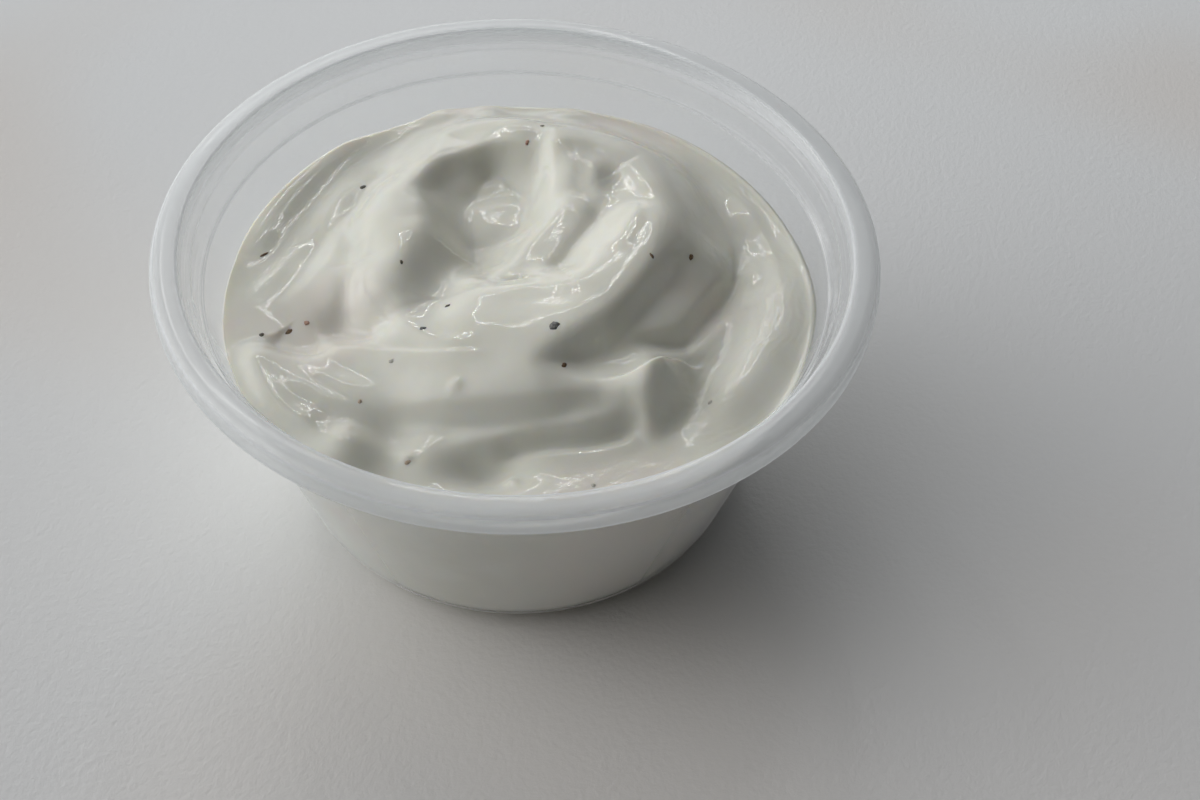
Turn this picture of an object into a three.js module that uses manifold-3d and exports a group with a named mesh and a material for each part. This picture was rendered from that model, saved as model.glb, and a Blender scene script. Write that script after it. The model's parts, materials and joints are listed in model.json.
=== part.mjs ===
// A portion cup of ranch dip: a thin moulded cup with a rolled rim, filled with a swirled,
// herb-flecked dip. Millimetres, +Z up, origin on the table under the middle of the cup.
import * as THREE from 'three';
import { mergeVertices } from 'three/addons/utils/BufferGeometryUtils.js';
import Module from 'manifold-3d';

// ---- Cup ----
const RIM_RADIUS = 37; // outside of the rolled rim
const HEIGHT = 34.9; // table to the top of the rim
const WALL = 0.5; // thickness of the moulded sheet
const BASE_RADIUS = 24.0; // where the tapered wall would meet the table
const WALL_TOP = { r: 32.0, z: 30.2 }; // inside of the tapered wall, at its top
const LOWER_LEDGE = { r: 32.6, z: 30.4 }; // the step above the wall, that stacked cups rest on
const COLLAR_TOP = { r: 33.1, z: 33.0 };
const UPPER_LEDGE = { r: 33.6, z: 33.3 };
const MOUTH = { r: 34.2, z: HEIGHT }; // inner edge of the rim's flat top
const RIM_ROUND = 1.3; // radius of the rim's outer shoulder
const RIM_SHEET = 0.6; // the rim is a little thicker than the wall
const SKIRT_BOTTOM = 32.6; // lower edge of the rim's turned down skirt
const HEEL_ROUND = 5.5; // outside radius where wall meets base
const FOOT_INNER = 17.8; // inner edge of the flat ring that the cup stands on
const PANEL = { r: 16.6, lift: 0.8 }; // middle of the base, raised clear of the table
const CUP_SIDES = 72;
const ROUND_STEPS = 3; // faces in each rounded corner

// ---- Dip ----
const GAP = 0.3; // between the dip and the cup
const DIP_LEVEL = 25.7; // where the dip meets the wall, on average
const LEVEL_SLOPE = 0.012; // it lies a little higher to the right
const BACK_RISE = { start: 10, length: 20, height: 0.35 }; // and higher at the back
const DIP_SIDES = 112;
const DIP_RINGS = 28;
const CURVE_STEPS = 12; // samples between two points of a fold's path

// The heap in the middle and the crater scooped into it. foot and top are how far the slope's
// foot and its upper edge lie from the middle: to the left, right, front and back.
const HEAP = { x: 2.1, y: 3.4, rise: 5.44, foot: [27, 22.6, 28.3, 27.5], top: [9.9, 11.7, 13.5, 16.1] };
const CRATER = { x: -2.8, y: 10.7, rise: -3.23, foot: [8.4, 11.8, 16.2, 8.5], top: [2, 2.8, 8.6, 5.2] };

// A fold follows a path over the dip. rise is its height, or its depth where it is negative,
// left and right are its half widths on either side, and fade is the share of its length over
// which each end runs out.
const fold = (rise, left, right, fade, ...path) => ({ rise, left, right, fade, path });
const FOLDS = [
  // crest of the crater: right, back and left
  fold(1.56, 3.1, 2.7, 0.25, [-3.3, -5.3], [5.7, -8.2], [10.2, -4.7], [13.5, 0.9], [16.7, 6],
    [16.9, 11.2], [14.9, 17.8], [7.3, 19.8], [4.2, 19.5]),
  fold(1.06, 1.7, 2.4, 0.25, [5.3, 18.2], [3.4, 20.3], [-2.1, 23], [-8.5, 23.1], [-10.2, 16.2],
    [-13.8, 12.3], [-14.5, 10.6]),
  fold(1.52, 2.6, 3, 0.25, [-12.6, 17.2], [-14.6, 12.2], [-14.4, 6.2], [-12.4, 1.7], [-15, -1.8],
    [-14.6, -5.6], [-12.8, -8.6]),
  // slanting folds and troughs inside the crater
  fold(1.54, 2.3, 1.8, 0.25, [-2.6, -3.6], [-2.7, -1.3], [-0.3, 2], [2.7, 6], [5.2, 9.6],
    [7.1, 11.2]),
  fold(-1.13, 1, 1.7, 0.25, [2.2, -2.6], [4.8, -0.2], [6.4, 2.6], [8.4, 5.9], [9.3, 10]),
  fold(0.79, 1.8, 2.3, 0.25, [1.7, -4.1], [6.5, -1.6], [7.7, 2.8], [10.5, 6.4], [13.2, 9]),
  fold(1.12, 2.2, 1, 0.35, [4.4, 22.5], [4.1, 14], [3.8, 8.1]),
  fold(-0.94, 1.8, 1.7, 0.25, [-8.4, 17.7], [-7.9, 11.9], [-6.1, 7.4], [-4.1, 3.2], [-6.9, 0.6]),
  // the roll that crosses the front, its lip and the groove behind it
  fold(1.43, 2.7, 1.3, 0.14, [-25.3, -8.4], [-22.4, -11.4], [-16.9, -15.2], [-7.6, -16.8],
    [0.2, -17.3], [8, -16.5], [13.4, -16.6], [19.1, -13.8]),
  fold(0.51, 0.9, 1.1, 0.3, [-21.7, -7.2], [-19.1, -8], [-12.8, -10.7], [-8.1, -12.1],
    [-1.8, -13.2]),
  fold(-0.58, 1.5, 0.9, 0.25, [-26.2, -5.2], [-25.1, -6.4], [-21, -7.8], [-18.7, -7]),
  fold(1.18, 1.7, 1.2, 0.25, [-27.7, -5.5], [-25.3, -12.5], [-22.3, -16.6], [-17.7, -19.7]),
  // the steep right flank, stepped like the turns of a coil
  fold(-2.18, 2.2, 0.9, 0.25, [18.7, 3.5], [17.2, -0.1], [14.5, -4.4], [11.2, -9.2], [8.3, -11.7],
    [0.8, -15.1]),
  fold(0.8, 1.7, 1.7, 0.25, [20, 6.6], [20.5, 1.5], [18.1, -1.9], [14.9, -6.1], [12.5, -9.3],
    [7.6, -12]),
  fold(-1.41, 0.9, 0.9, 0.25, [23.7, 8.7], [23, 2.4], [19.8, -3.1], [17.6, -6.9], [15.7, -8.6],
    [9.7, -10.7]),
  fold(1.63, 0.9, 2.4, 0.4, [7.4, -15.9], [11.9, -15.1], [15.9, -12.1], [17.9, -11.4],
    [20.3, -9.2]),
  fold(0.97, 1.4, 1.3, 0.25, [15.1, -11.8], [13.2, -14.9], [12.7, -17.9], [11, -19.4]),
  fold(-1.07, 1.6, 2.4, 0.25, [23.6, 12.7], [26.2, 3.4], [22.2, -1.1], [20.5, -8.2],
    [17.7, -14.8], [13.9, -20.1]),
  fold(1.45, 2.4, 3.1, 0.25, [27, 9.9], [26.3, 3.5], [27.8, -3.3], [23.7, -11.4], [17, -21.1]),
  // long soft streaks down the left slope
  fold(0.36, 1.9, 1.5, 0.25, [-13.5, 25.5], [-18.2, 18.7], [-22.7, 7.4], [-29, -2.6]),
  fold(0.67, 1.7, 1.8, 0.25, [-15.9, 29.6], [-25.6, 15], [-29, 3.4]),
  fold(0.6, 2, 1.3, 0.25, [-17.9, 12.4], [-19.7, 3.9], [-25.7, -3.3]),
  fold(-0.89, 1.2, 1.1, 0.25, [-16.8, 16.5], [-18.1, 7.7], [-16.9, 1.4]),
  // the layers under the roll's front edge
  fold(-0.42, 0.9, 0.9, 0.2, [-24, -7.5], [-21.6, -11.6], [-16.8, -15.2], [-9.9, -17.8],
    [-5.1, -19.2], [2.1, -19.3], [6.9, -17.5], [11.2, -15.9]),
  fold(0.54, 0.9, 0.9, 0.2, [-7.9, -20.2], [-3, -20.5], [3, -19.8], [7.9, -19], [11.8, -18.1]),
  fold(-0.94, 0.9, 0.9, 0.2, [-3.2, -21.6], [3, -21], [7.7, -20.4], [12.9, -18.6]),
  // a second streak on the front left, and the last turn of the coil
  fold(0.31, 0.9, 0.9, 0.3, [-15, -6.5], [-11.5, -7.3], [-7.9, -10.4], [-3.1, -11.4]),
  fold(-0.74, 1.2, 1.2, 0.25, [12, -18.6], [16, -17.1], [18.2, -12.6], [19.4, -8.1]),
  // the channel round the crater's left side, and fine ridges outside its right crest
  fold(-0.52, 1, 1.1, 0.25, [0.7, 18], [-2.8, 17.7], [-6.7, 15.6], [-9.6, 13.1], [-9.4, 9]),
  fold(0.27, 0.9, 0.9, 0.25, [23.8, 16.2], [26.1, 11], [27.4, 5], [27.5, -0.8]),
  fold(0.29, 0.9, 0.9, 0.25, [9.6, -0.7], [11.6, 3.7], [13.1, 8.5]),
  fold(-0.34, 1, 1.3, 0.25, [-24.1, 3.1], [-20.1, 8.9], [-17.5, 14.6], [-12.8, 19]),
];

// A lump is a rounded bump, or a dimple where it is negative. along and across are its half
// widths, and turn is the direction of the first in degrees.
const lump = (rise, x, y, along, across = along, turn = 0) => ({ rise, x, y, along, across, turn });
const LUMPS = [
  // on the crater's floor and in its back right corner
  lump(-0.68, -3, 13.2, 2.6, 1.2, 4),
  lump(-0.7, -2.2, 6.5, 2.6, 1, 5),
  lump(-0.99, 7, 13, 0.6, 1.2, 0),
  lump(0.97, 7.5, 13.1, 2, 1.6, 0),
  lump(-0.37, 10.2, 11.9, 1.2, 2, 0),
  // hollows left of the crater
  lump(-1.82, -8.1, -2.9, 2.3, 3.5, 0),
  lump(-0.96, -7.2, 1.5, 1.8, 2, 0),
  lump(-2.35, -17.7, -4.5, 2, 1.7, 2),
  lump(-1.69, -15, -6.1, 1.6, 1.3, 0),
  // waves along the front, where the roll ends above the lowest layer
  lump(1.74, -16.4, -20.7, 2.5, 2.1, 0),
  lump(-1.18, -12.7, -20.3, 2.3, 4.2, 0),
  lump(0.83, -10.2, -21.8, 2.7, 1.8, 0),
  lump(-1.8, -2.8, -23.6, 2.7, 1.5, 5),
  // soft swellings inside the crater and at the back
  lump(0.55, -2, 12.7, 1.8, 1.4, 0),
  lump(0.59, -4.8, 26.6, 2.7, 2.9, 0),
  lump(-0.42, 2.2, 24.2, 2.2, 2.5, 0),
  lump(-0.69, -17.8, -1.2, 0.9, 1.4, 0),
  lump(0.27, -23.3, -9.3, 2.2, 1.3, -4),
];

// Herb flecks: place, half length, half width, and direction in degrees.
const FLECK_THICKNESS = 0.5;
const FLECK_SUNK = 0.05; // the middle of a fleck lies this far below the surface
const FLECKS = [
  [3.6, -10.4, 0.7, 0.52, 40], [4.5, -13.8, 0.55, 0.34, 60], [-17.2, 16.2, 0.55, 0.4, 10],
  [-27.2, 6.4, 0.75, 0.26, 35], [-26.4, -5.3, 0.42, 0.36, 80], [-23.7, -4.7, 0.55, 0.36, 45],
  [-21.9, -3.8, 0.38, 0.34, 0], [-7.2, -5.3, 0.38, 0.26, 15], [-9.6, -8.4, 0.4, 0.32, 20],
  [18.1, 1.6, 0.5, 0.4, 90], [13.7, -1.2, 0.42, 0.24, 120], [-15.7, -15.6, 0.36, 0.3, 70],
  [-10.7, -22.8, 0.4, 0.34, 50], [2.7, 20.9, 0.34, 0.3, 30], [1, 18.3, 0.4, 0.26, 80],
  [-12.7, -11.6, 0.38, 0.3, 10], [19.1, -15.7, 0.36, 0.3, 60], [7.1, -25.8, 0.34, 0.28, 0],
  [-12, -0.4, 0.32, 0.2, 100],
];

const wasm = await Module();
wasm.setup();

const point = ({ r, z }) => new THREE.Vector2(r, z);

// Points of a round corner between two straight stretches of a profile.
function rounded(before, corner, after, radius) {
  const back = before.clone().sub(corner).normalize();
  const on = after.clone().sub(corner).normalize();
  const half = Math.acos(back.dot(on)) / 2;
  const reach = radius / Math.tan(half);
  const middle = back.clone().add(on).normalize().multiplyScalar(radius / Math.sin(half));
  const start = back.multiplyScalar(reach).sub(middle);
  const end = on.multiplyScalar(reach).sub(middle);
  const sweep = start.angleTo(end) * Math.sign(start.cross(end));
  const centre = corner.clone().add(middle);
  return Array.from({ length: ROUND_STEPS + 1 }, (_, i) => start.clone()
    .rotateAround(new THREE.Vector2(), (sweep * i) / ROUND_STEPS).add(centre));
}

// A closed triangle mesh in vertices that its faces share, without the slivers on the axis.
function weld(geometry) {
  geometry.deleteAttribute('normal');
  geometry.deleteAttribute('uv');
  const merged = mergeVertices(geometry, 1e-4);
  const all = merged.index.array;
  const kept = [];
  for (let i = 0; i < all.length; i += 3) {
    const [a, b, c] = [all[i], all[i + 1], all[i + 2]];
    if (a !== b && b !== c && c !== a) kept.push(a, b, c);
  }
  merged.setIndex(kept);
  return merged;
}

// A profile in radius and height, turned about +Z.
function turned(profile, sides) {
  return new THREE.LatheGeometry(profile, sides).rotateX(Math.PI / 2);
}

const solidOf = (geometry) => new wasm.Manifold(new wasm.Mesh({
  numProp: 3,
  vertProperties: new Float32Array(geometry.attributes.position.array),
  triVerts: new Uint32Array(geometry.index.array),
}));

function geometryOf(solid) {
  const { vertProperties, triVerts } = solid.getMesh();
  const geometry = new THREE.BufferGeometry();
  geometry.setAttribute('position', new THREE.BufferAttribute(vertProperties, 3));
  geometry.setIndex(new THREE.BufferAttribute(triVerts, 1));
  return geometry;
}

// ---- The cup's shape ----

// Radius of the wall's inside, and of anything parallel to it, at a height.
const wallRadius = (z, inset = 0) => {
  const base = BASE_RADIUS - WALL - inset;
  return base + (WALL_TOP.r - inset - base) * (z / WALL_TOP.z);
};

// The underside of what stands in the cup, or the cup's own inner face where lift is 0:
// over the raised panel, down to the ring at the foot, round the heel and up the wall.
function innerFloor(lift, wallEnd) {
  const foot = WALL + lift;
  const corner = new THREE.Vector2(wallRadius(foot, lift), foot);
  const ring = new THREE.Vector2(FOOT_INNER, foot);
  return [
    new THREE.Vector2(0, PANEL.lift + foot),
    new THREE.Vector2(PANEL.r, PANEL.lift + foot),
    ring,
    ...rounded(ring, corner, new THREE.Vector2(wallRadius(wallEnd, lift), wallEnd),
      HEEL_ROUND - WALL - lift),
  ];
}

function cupProfile() {
  const outward = (p) => new THREE.Vector2(p.r + WALL, p.z);
  const foot = new THREE.Vector2(FOOT_INNER, 0);
  const wallTop = outward(WALL_TOP);
  const outside = [
    new THREE.Vector2(0, PANEL.lift),
    new THREE.Vector2(PANEL.r, PANEL.lift),
    foot,
    ...rounded(foot, new THREE.Vector2(BASE_RADIUS, 0), wallTop, HEEL_ROUND),
    wallTop,
    ...[LOWER_LEDGE, COLLAR_TOP, UPPER_LEDGE].map(outward),
  ];
  const skirtInside = RIM_RADIUS - RIM_SHEET;
  const underTop = HEIGHT - RIM_SHEET;
  const flange = new THREE.Vector2(RIM_RADIUS, HEIGHT);
  const rim = [
    new THREE.Vector2(MOUTH.r + WALL, underTop),
    new THREE.Vector2(skirtInside - RIM_ROUND / 2, underTop),
    new THREE.Vector2(skirtInside, underTop - RIM_ROUND / 2),
    new THREE.Vector2(skirtInside, SKIRT_BOTTOM),
    new THREE.Vector2(RIM_RADIUS, SKIRT_BOTTOM),
    ...rounded(new THREE.Vector2(RIM_RADIUS, SKIRT_BOTTOM), flange, point(MOUTH), RIM_ROUND),
  ];
  const inside = [MOUTH, UPPER_LEDGE, COLLAR_TOP, LOWER_LEDGE, WALL_TOP].map(point);
  return [...outside, ...rim, ...inside, ...innerFloor(0, WALL_TOP.z).reverse()];
}

// ---- The dip's surface ----

// Distance from the middle to an outline that reaches a different way to each side.
function reachTowards(cos, sin, [left, right, front, back]) {
  return 1 / Math.hypot(cos / (cos < 0 ? left : right), sin / (sin < 0 ? front : back));
}

function heapHeight(heap, x, y) {
  const dx = x - heap.x + 1e-9; // never exactly 0
  const dy = y - heap.y;
  const distance = Math.hypot(dx, dy);
  const cos = dx / distance;
  const sin = dy / distance;
  const foot = reachTowards(cos, sin, heap.foot);
  const top = reachTowards(cos, sin, heap.top);
  return heap.rise * THREE.MathUtils.smoothstep((foot - distance) / (foot - top), 0, 1);
}

// The stretches of a fold's smooth path, each with its start, step, length and distance along.
function stretches({ path }) {
  const curve = new THREE.CatmullRomCurve3(path.map(([x, y]) => new THREE.Vector3(x, y, 0)),
    false, 'catmullrom', 0.5);
  const samples = curve.getPoints((path.length - 1) * CURVE_STEPS);
  let along = 0;
  return samples.slice(1).map((end, i) => {
    const start = samples[i];
    const stretch = { start, step: end.clone().sub(start), length: end.distanceTo(start), along };
    along += stretch.length;
    return stretch;
  });
}

function foldHeight({ rise, left, right, fade, parts }, x, y) {
  let nearest = { distance: Infinity };
  for (const { start, step, length, along } of parts) {
    const [dx, dy] = [x - start.x, y - start.y];
    const t = THREE.MathUtils.clamp((dx * step.x + dy * step.y) / (length * length), 0, 1);
    const distance = Math.hypot(dx - t * step.x, dy - t * step.y);
    if (distance < nearest.distance) {
      const side = step.x * dy - step.y * dx;
      nearest = { distance, along: along + t * length, width: side > 0 ? left : right };
    }
  }
  const last = parts[parts.length - 1];
  const total = last.along + last.length;
  const ends = THREE.MathUtils.smoothstep(nearest.along, 0, fade * total)
    * THREE.MathUtils.smoothstep(total - nearest.along, 0, fade * total);
  return rise * ends * Math.exp(-0.5 * (nearest.distance / nearest.width) ** 2);
}

function lumpHeight({ rise, x: cx, y: cy, along, across, turn }, x, y) {
  const offset = new THREE.Vector2(x - cx, y - cy)
    .rotateAround(new THREE.Vector2(), -THREE.MathUtils.degToRad(turn));
  return rise * Math.exp(-0.5 * ((offset.x / along) ** 2 + (offset.y / across) ** 2));
}

const SHAPED_FOLDS = FOLDS.map((f) => ({ ...f, parts: stretches(f) }));

function dipHeight(x, y) {
  const back = THREE.MathUtils.smoothstep((y - BACK_RISE.start) / BACK_RISE.length, 0, 1);
  let z = DIP_LEVEL + LEVEL_SLOPE * x + BACK_RISE.height * back;
  z += heapHeight(HEAP, x, y) + heapHeight(CRATER, x, y);
  for (const f of SHAPED_FOLDS) z += foldHeight(f, x, y);
  for (const l of LUMPS) z += lumpHeight(l, x, y);
  return z;
}

// The dip as it fills the cup: a turned blank whose top rings are raised to the surface, with
// the outermost ring drawn out to the wall at the height where it ends up.
function dipBody() {
  const underside = innerFloor(GAP, WALL_TOP.z);
  const edge = wallRadius(DIP_LEVEL, GAP);
  const top = Array.from({ length: DIP_RINGS + 1 },
    (_, i) => new THREE.Vector2(edge * (1 - i / DIP_RINGS), DIP_LEVEL));
  const profile = [...underside, ...top];
  const blank = turned(profile, DIP_SIDES);
  const position = blank.attributes.position;
  const p = new THREE.Vector3();
  for (let i = 0; i < position.count; i++) {
    const ring = (i % profile.length) - underside.length;
    if (ring < 0) continue;
    p.fromBufferAttribute(position, i);
    p.z = dipHeight(p.x, p.y);
    if (ring === 0) {
      const spread = wallRadius(p.z, GAP) / edge;
      p.x *= spread;
      p.y *= spread;
    }
    position.setXYZ(i, p.x, p.y, p.z);
  }
  return weld(blank);
}

// A fleck lies in the surface, tilted with it.
function fleckShape([x, y, halfLength, halfWidth, direction]) {
  const d = halfLength;
  const normal = new THREE.Vector3(dipHeight(x - d, y) - dipHeight(x + d, y),
    dipHeight(x, y - d) - dipHeight(x, y + d), 2 * d).normalize();
  const fleck = weld(new THREE.OctahedronGeometry(1, 1));
  fleck.scale(halfLength, halfWidth, FLECK_THICKNESS / 2);
  fleck.rotateZ(THREE.MathUtils.degToRad(direction));
  fleck.applyQuaternion(new THREE.Quaternion()
    .setFromUnitVectors(new THREE.Vector3(0, 0, 1), normal));
  const centre = new THREE.Vector3(x, y, dipHeight(x, y)).addScaledVector(normal, -FLECK_SUNK);
  return fleck.translate(centre.x, centre.y, centre.z);
}

function dipSolid() {
  return FLECKS.reduce((solid, fleck) => solid.add(solidOf(fleckShape(fleck))),
    solidOf(dipBody()));
}

// ---- Scene graph ----

function named(name, geometry, finish) {
  const mesh = new THREE.Mesh(geometry, new THREE.MeshStandardMaterial(finish));
  mesh.name = name;
  return mesh;
}

const portionCup = new THREE.Group();
portionCup.add(
  named('cup', weld(turned(cupProfile(), CUP_SIDES)),
    { color: 0xe3e7e8, roughness: 0.3, metalness: 0, transparent: true, opacity: 0.45 }),
  named('ranch_dip', geometryOf(dipSolid()),
    { color: 0xdfdfd3, roughness: 0.25, metalness: 0 }),
);

export default portionCup;
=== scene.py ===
# %% [markdown]
# # A portion cup of ranch dip
# The object is a thin, milky plastic cup with a rolled rim. It is filled with white ranch dip,
# which was spooned in, so it lies in a heap with folds, a crater and a few herb flecks.
# This lesson dresses a plain solid model of it. The plain model gives the frame: its size,
# its origin under the middle of the cup, and the two nodes that each new piece stands for.

import json
import math

import bmesh
import bpy
import numpy as np
from mathutils import Matrix, Vector, noise

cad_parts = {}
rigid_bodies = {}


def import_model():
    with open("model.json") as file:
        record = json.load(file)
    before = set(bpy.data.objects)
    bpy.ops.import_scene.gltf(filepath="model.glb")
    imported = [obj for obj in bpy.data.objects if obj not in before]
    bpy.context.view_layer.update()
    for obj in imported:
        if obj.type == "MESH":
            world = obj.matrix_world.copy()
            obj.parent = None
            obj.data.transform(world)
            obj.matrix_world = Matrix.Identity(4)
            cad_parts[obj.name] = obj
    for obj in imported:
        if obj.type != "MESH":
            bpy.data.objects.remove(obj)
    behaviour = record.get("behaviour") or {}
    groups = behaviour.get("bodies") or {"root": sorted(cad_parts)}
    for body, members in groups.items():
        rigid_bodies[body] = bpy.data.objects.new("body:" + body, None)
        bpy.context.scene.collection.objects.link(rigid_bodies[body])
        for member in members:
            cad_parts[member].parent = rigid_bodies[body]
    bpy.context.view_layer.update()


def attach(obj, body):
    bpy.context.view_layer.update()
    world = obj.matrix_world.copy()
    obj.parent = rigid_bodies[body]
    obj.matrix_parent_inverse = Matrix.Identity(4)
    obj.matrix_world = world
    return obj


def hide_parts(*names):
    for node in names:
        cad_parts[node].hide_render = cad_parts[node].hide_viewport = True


for left_over in list(bpy.data.objects):
    bpy.data.objects.remove(left_over)
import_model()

# %% [markdown]
# Sizes below are in millimetres, because that is how a cup is drawn. Blender works in metres,
# so every finished mesh is scaled once, here, when it becomes an object. Its place stays in
# its mesh, and the object itself stays at the origin.

# %% From a drawn mesh to a piece
MM = 0.001


def finished(bm, name, materials):
    """An object at the origin, in metres, from a mesh that was drawn in millimetres."""
    bmesh.ops.scale(bm, vec=(MM, MM, MM), verts=bm.verts)
    mesh = bpy.data.meshes.new(name)
    bm.to_mesh(mesh)
    bm.free()
    mesh.shade_smooth()
    for material in materials:
        mesh.materials.append(material)
    piece = bpy.data.objects.new(name, mesh)
    bpy.context.scene.collection.objects.link(piece)
    print(name, len(mesh.polygons), "faces,", [round(1000 * d, 1) for d in piece.dimensions], "mm")
    return piece


# %% [markdown]
# Materials are graphs of nodes. Writing them as maths keeps them readable: a small class wraps
# a node's output, and its operators add Math nodes. Every other node comes from one method,
# which takes the node's type, its settings and the values of its inputs.


# %% Maths for materials
class Wire:
    """The output of a node in a material."""

    def __init__(self, tree, socket):
        self.tree = tree
        self.socket = socket

    def node(self, kind, settings=None, inputs=None, output=0):
        """A new node in the same material: settings first, then its inputs."""
        node = self.tree.nodes.new(kind)
        for name, value in (settings or {}).items():
            setattr(node, name, value)
        for name, value in (inputs or {}).items():
            if isinstance(value, Wire):
                self.tree.links.new(value.socket, node.inputs[name])
            else:
                node.inputs[name].default_value = value
        return Wire(self.tree, node.outputs[output])

    def maths(self, operation, first, second):
        return self.node("ShaderNodeMath", {"operation": operation}, {0: first, 1: second})

    def __add__(self, other):
        return self.maths("ADD", self, other)

    def __sub__(self, other):
        return self.maths("SUBTRACT", self, other)

    def __mul__(self, other):
        return self.maths("MULTIPLY", self, other)

    def __truediv__(self, other):
        return self.maths("DIVIDE", self, other)

    def __pow__(self, other):
        return self.maths("POWER", self, other)

    def __rpow__(self, other):
        return self.maths("POWER", other, self)

    def __radd__(self, other):
        return self.maths("ADD", other, self)

    def __rsub__(self, other):
        return self.maths("SUBTRACT", other, self)

    def __rmul__(self, other):
        return self.maths("MULTIPLY", other, self)

    def sine(self):
        return self.node("ShaderNodeMath", {"operation": "SINE"}, {0: self})

    def axis(self, number):
        """One number of a place: 0 is across, 1 is along and 2 is up."""
        return self.node("ShaderNodeSeparateXYZ", {}, {0: self}, output=number)

    def between(self, low, high):
        """0 below low, 1 above high, and a soft step between them."""
        return self.node(
            "ShaderNodeMapRange",
            {"interpolation_type": "SMOOTHSTEP", "clamp": True},
            {"Value": self, "From Min": low, "From Max": high, "To Min": 0.0, "To Max": 1.0},
        )

    def blend(self, first, second):
        """The first colour where this value is 0, the second where it is 1."""
        return self.node(
            "ShaderNodeMix",
            {"data_type": "RGBA"},
            {0: self, 6: first, 7: second},
            output=2,
        )

    def grain(self, size, detail=2.0, roughness=0.5, stretch=(1.0, 1.0, 1.0)):
        """Noise from 0 to 1 on these coordinates, in lumps of about a size in millimetres."""
        turned = self.node("ShaderNodeMapping", {}, {"Vector": self, "Scale": stretch})
        return self.node(
            "ShaderNodeTexNoise",
            {},
            {"Vector": turned, "Scale": 1 / (size * MM), "Detail": detail, "Roughness": roughness},
        )

    def bump(self, height, normal=None):
        """A normal that tilts as this value does, over a height in millimetres."""
        inputs = {"Height": self, "Strength": 1.0, "Distance": height * MM}
        if normal is not None:
            inputs["Normal"] = normal
        return self.node("ShaderNodeBump", {}, inputs)


def new_material(name, **constants):
    """A material with one main shader, and the object coordinates to draw patterns on."""
    material = bpy.data.materials.new(name)
    material.use_nodes = True
    tree = material.node_tree
    shader = tree.nodes["Principled BSDF"]
    for socket, value in constants.items():
        shader.inputs[socket.replace("_", " ")].default_value = value
    place = tree.nodes.new("ShaderNodeTexCoord")
    return material, shader, Wire(tree, place.outputs["Object"])


def feed(shader, **wires):
    """Links wires to the shader's inputs."""
    for socket, wire in wires.items():
        wire.tree.links.new(wire.socket, shader.inputs[socket.replace("_", " ")])


print("materials are written with", Wire.__name__)

# %% [markdown]
# ## The cup
# The real cup is one sheet of polypropylene, pressed into a mould. Its section is the same all
# the way round: a raised base panel, a foot ring, a rounded heel, a tapered wall, a ledge, a
# short collar, a second ledge and a rim that turns outward and down. It could be a box-modelled
# cylinder with loops cut into it, but a section that is spun once round the middle is exact and
# easy to change. Each corner has its own softness, as it has in the mould.

# %% The cup's section
WALL = 0.5
BASE_RADIUS = 24.0
HEEL = 5.5
FOOT_INNER = 17.8
PANEL_RADIUS = 16.6
WALL_TOP = (32.0, 30.2)
RIM_RADIUS = 37.0
RIM_TOP = 34.9
SKIRT_BOTTOM = 32.6
RIM_SHEET = 0.6
PANEL_LIFT = 0.8


def wall_radius(z, inset=0.0):
    """Radius of the cup's inside, or of a surface set in from it, at a height."""
    base = BASE_RADIUS - WALL
    return base + (WALL_TOP[0] - base) * z / WALL_TOP[1] - inset


OUTSIDE = [
    (0.0, PANEL_LIFT, 0),
    (PANEL_RADIUS, PANEL_LIFT, 0.5),
    (FOOT_INNER, 0.0, 0.3),
    (BASE_RADIUS, 0.0, HEEL),
    (WALL_TOP[0] + WALL, WALL_TOP[1], 0.35),
    (33.1, 30.4, 0.25),
    (33.6, 33.0, 0.25),
    (34.1, 33.3, 0.25),
    (34.7, 34.3, 0.4),
    (36.4, 34.3, 0.7),
    (36.4, SKIRT_BOTTOM, 0.12),
    (RIM_RADIUS, SKIRT_BOTTOM, 0.18),
    (RIM_RADIUS, RIM_TOP, 1.3),
]
INSIDE = [
    (34.2, RIM_TOP, 0.3),
    (33.6, 33.3, 0.2),
    (33.1, 33.0, 0.2),
    (32.6, 30.4, 0.2),
    (*WALL_TOP, 0.3),
    (wall_radius(WALL), WALL, HEEL - WALL),
    (FOOT_INNER, WALL, 0.3),
    (PANEL_RADIUS, WALL + PANEL_LIFT, 0.5),
    (0.0, WALL + PANEL_LIFT, 0),
]
print("corners in the section:", len(OUTSIDE) + len(INSIDE))


# %% [markdown]
# A corner is rounded with a bevel on its vertex. The bevel asks how far from the corner it
# starts, which is the radius over the tangent of half the angle there.


# %% Draw a section with rounded corners
def section(bm, corners, steps):
    """A chain of edges through corners (radius, height, rounding)."""
    chain = [bm.verts.new((r, 0.0, z)) for r, z, _ in corners]
    for first, second in zip(chain, chain[1:]):
        bm.edges.new((first, second))
    ends = zip(chain, chain[1:], chain[2:], corners[1:])
    starts = []
    for before, here, after, (_, _, rounding) in ends:
        half = (before.co - here.co).angle(after.co - here.co) / 2
        starts.append((here, rounding / math.tan(half)))
    for here, start in starts:
        if start > 0:
            bmesh.ops.bevel(
                bm,
                geom=[here],
                offset=start,
                offset_type="OFFSET",
                segments=steps,
                profile=0.5,
                affect="VERTICES",
                material=-1,
            )


CUP_STEPS = 256
cup_mesh = bmesh.new()
section(cup_mesh, OUTSIDE + INSIDE, steps=6)
bmesh.ops.spin(
    cup_mesh,
    geom=cup_mesh.verts[:] + cup_mesh.edges[:],
    axis=(0, 0, 1),
    cent=(0, 0, 0),
    angle=2 * math.pi,
    steps=CUP_STEPS,
    use_merge=True,
)
bmesh.ops.remove_doubles(cup_mesh, verts=cup_mesh.verts, dist=1e-5)
bmesh.ops.recalc_face_normals(cup_mesh, faces=cup_mesh.faces)
open_edges = sum(not edge.is_manifold for edge in cup_mesh.edges)
print("cup:", len(cup_mesh.faces), "faces,", open_edges, "open edges")

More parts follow.
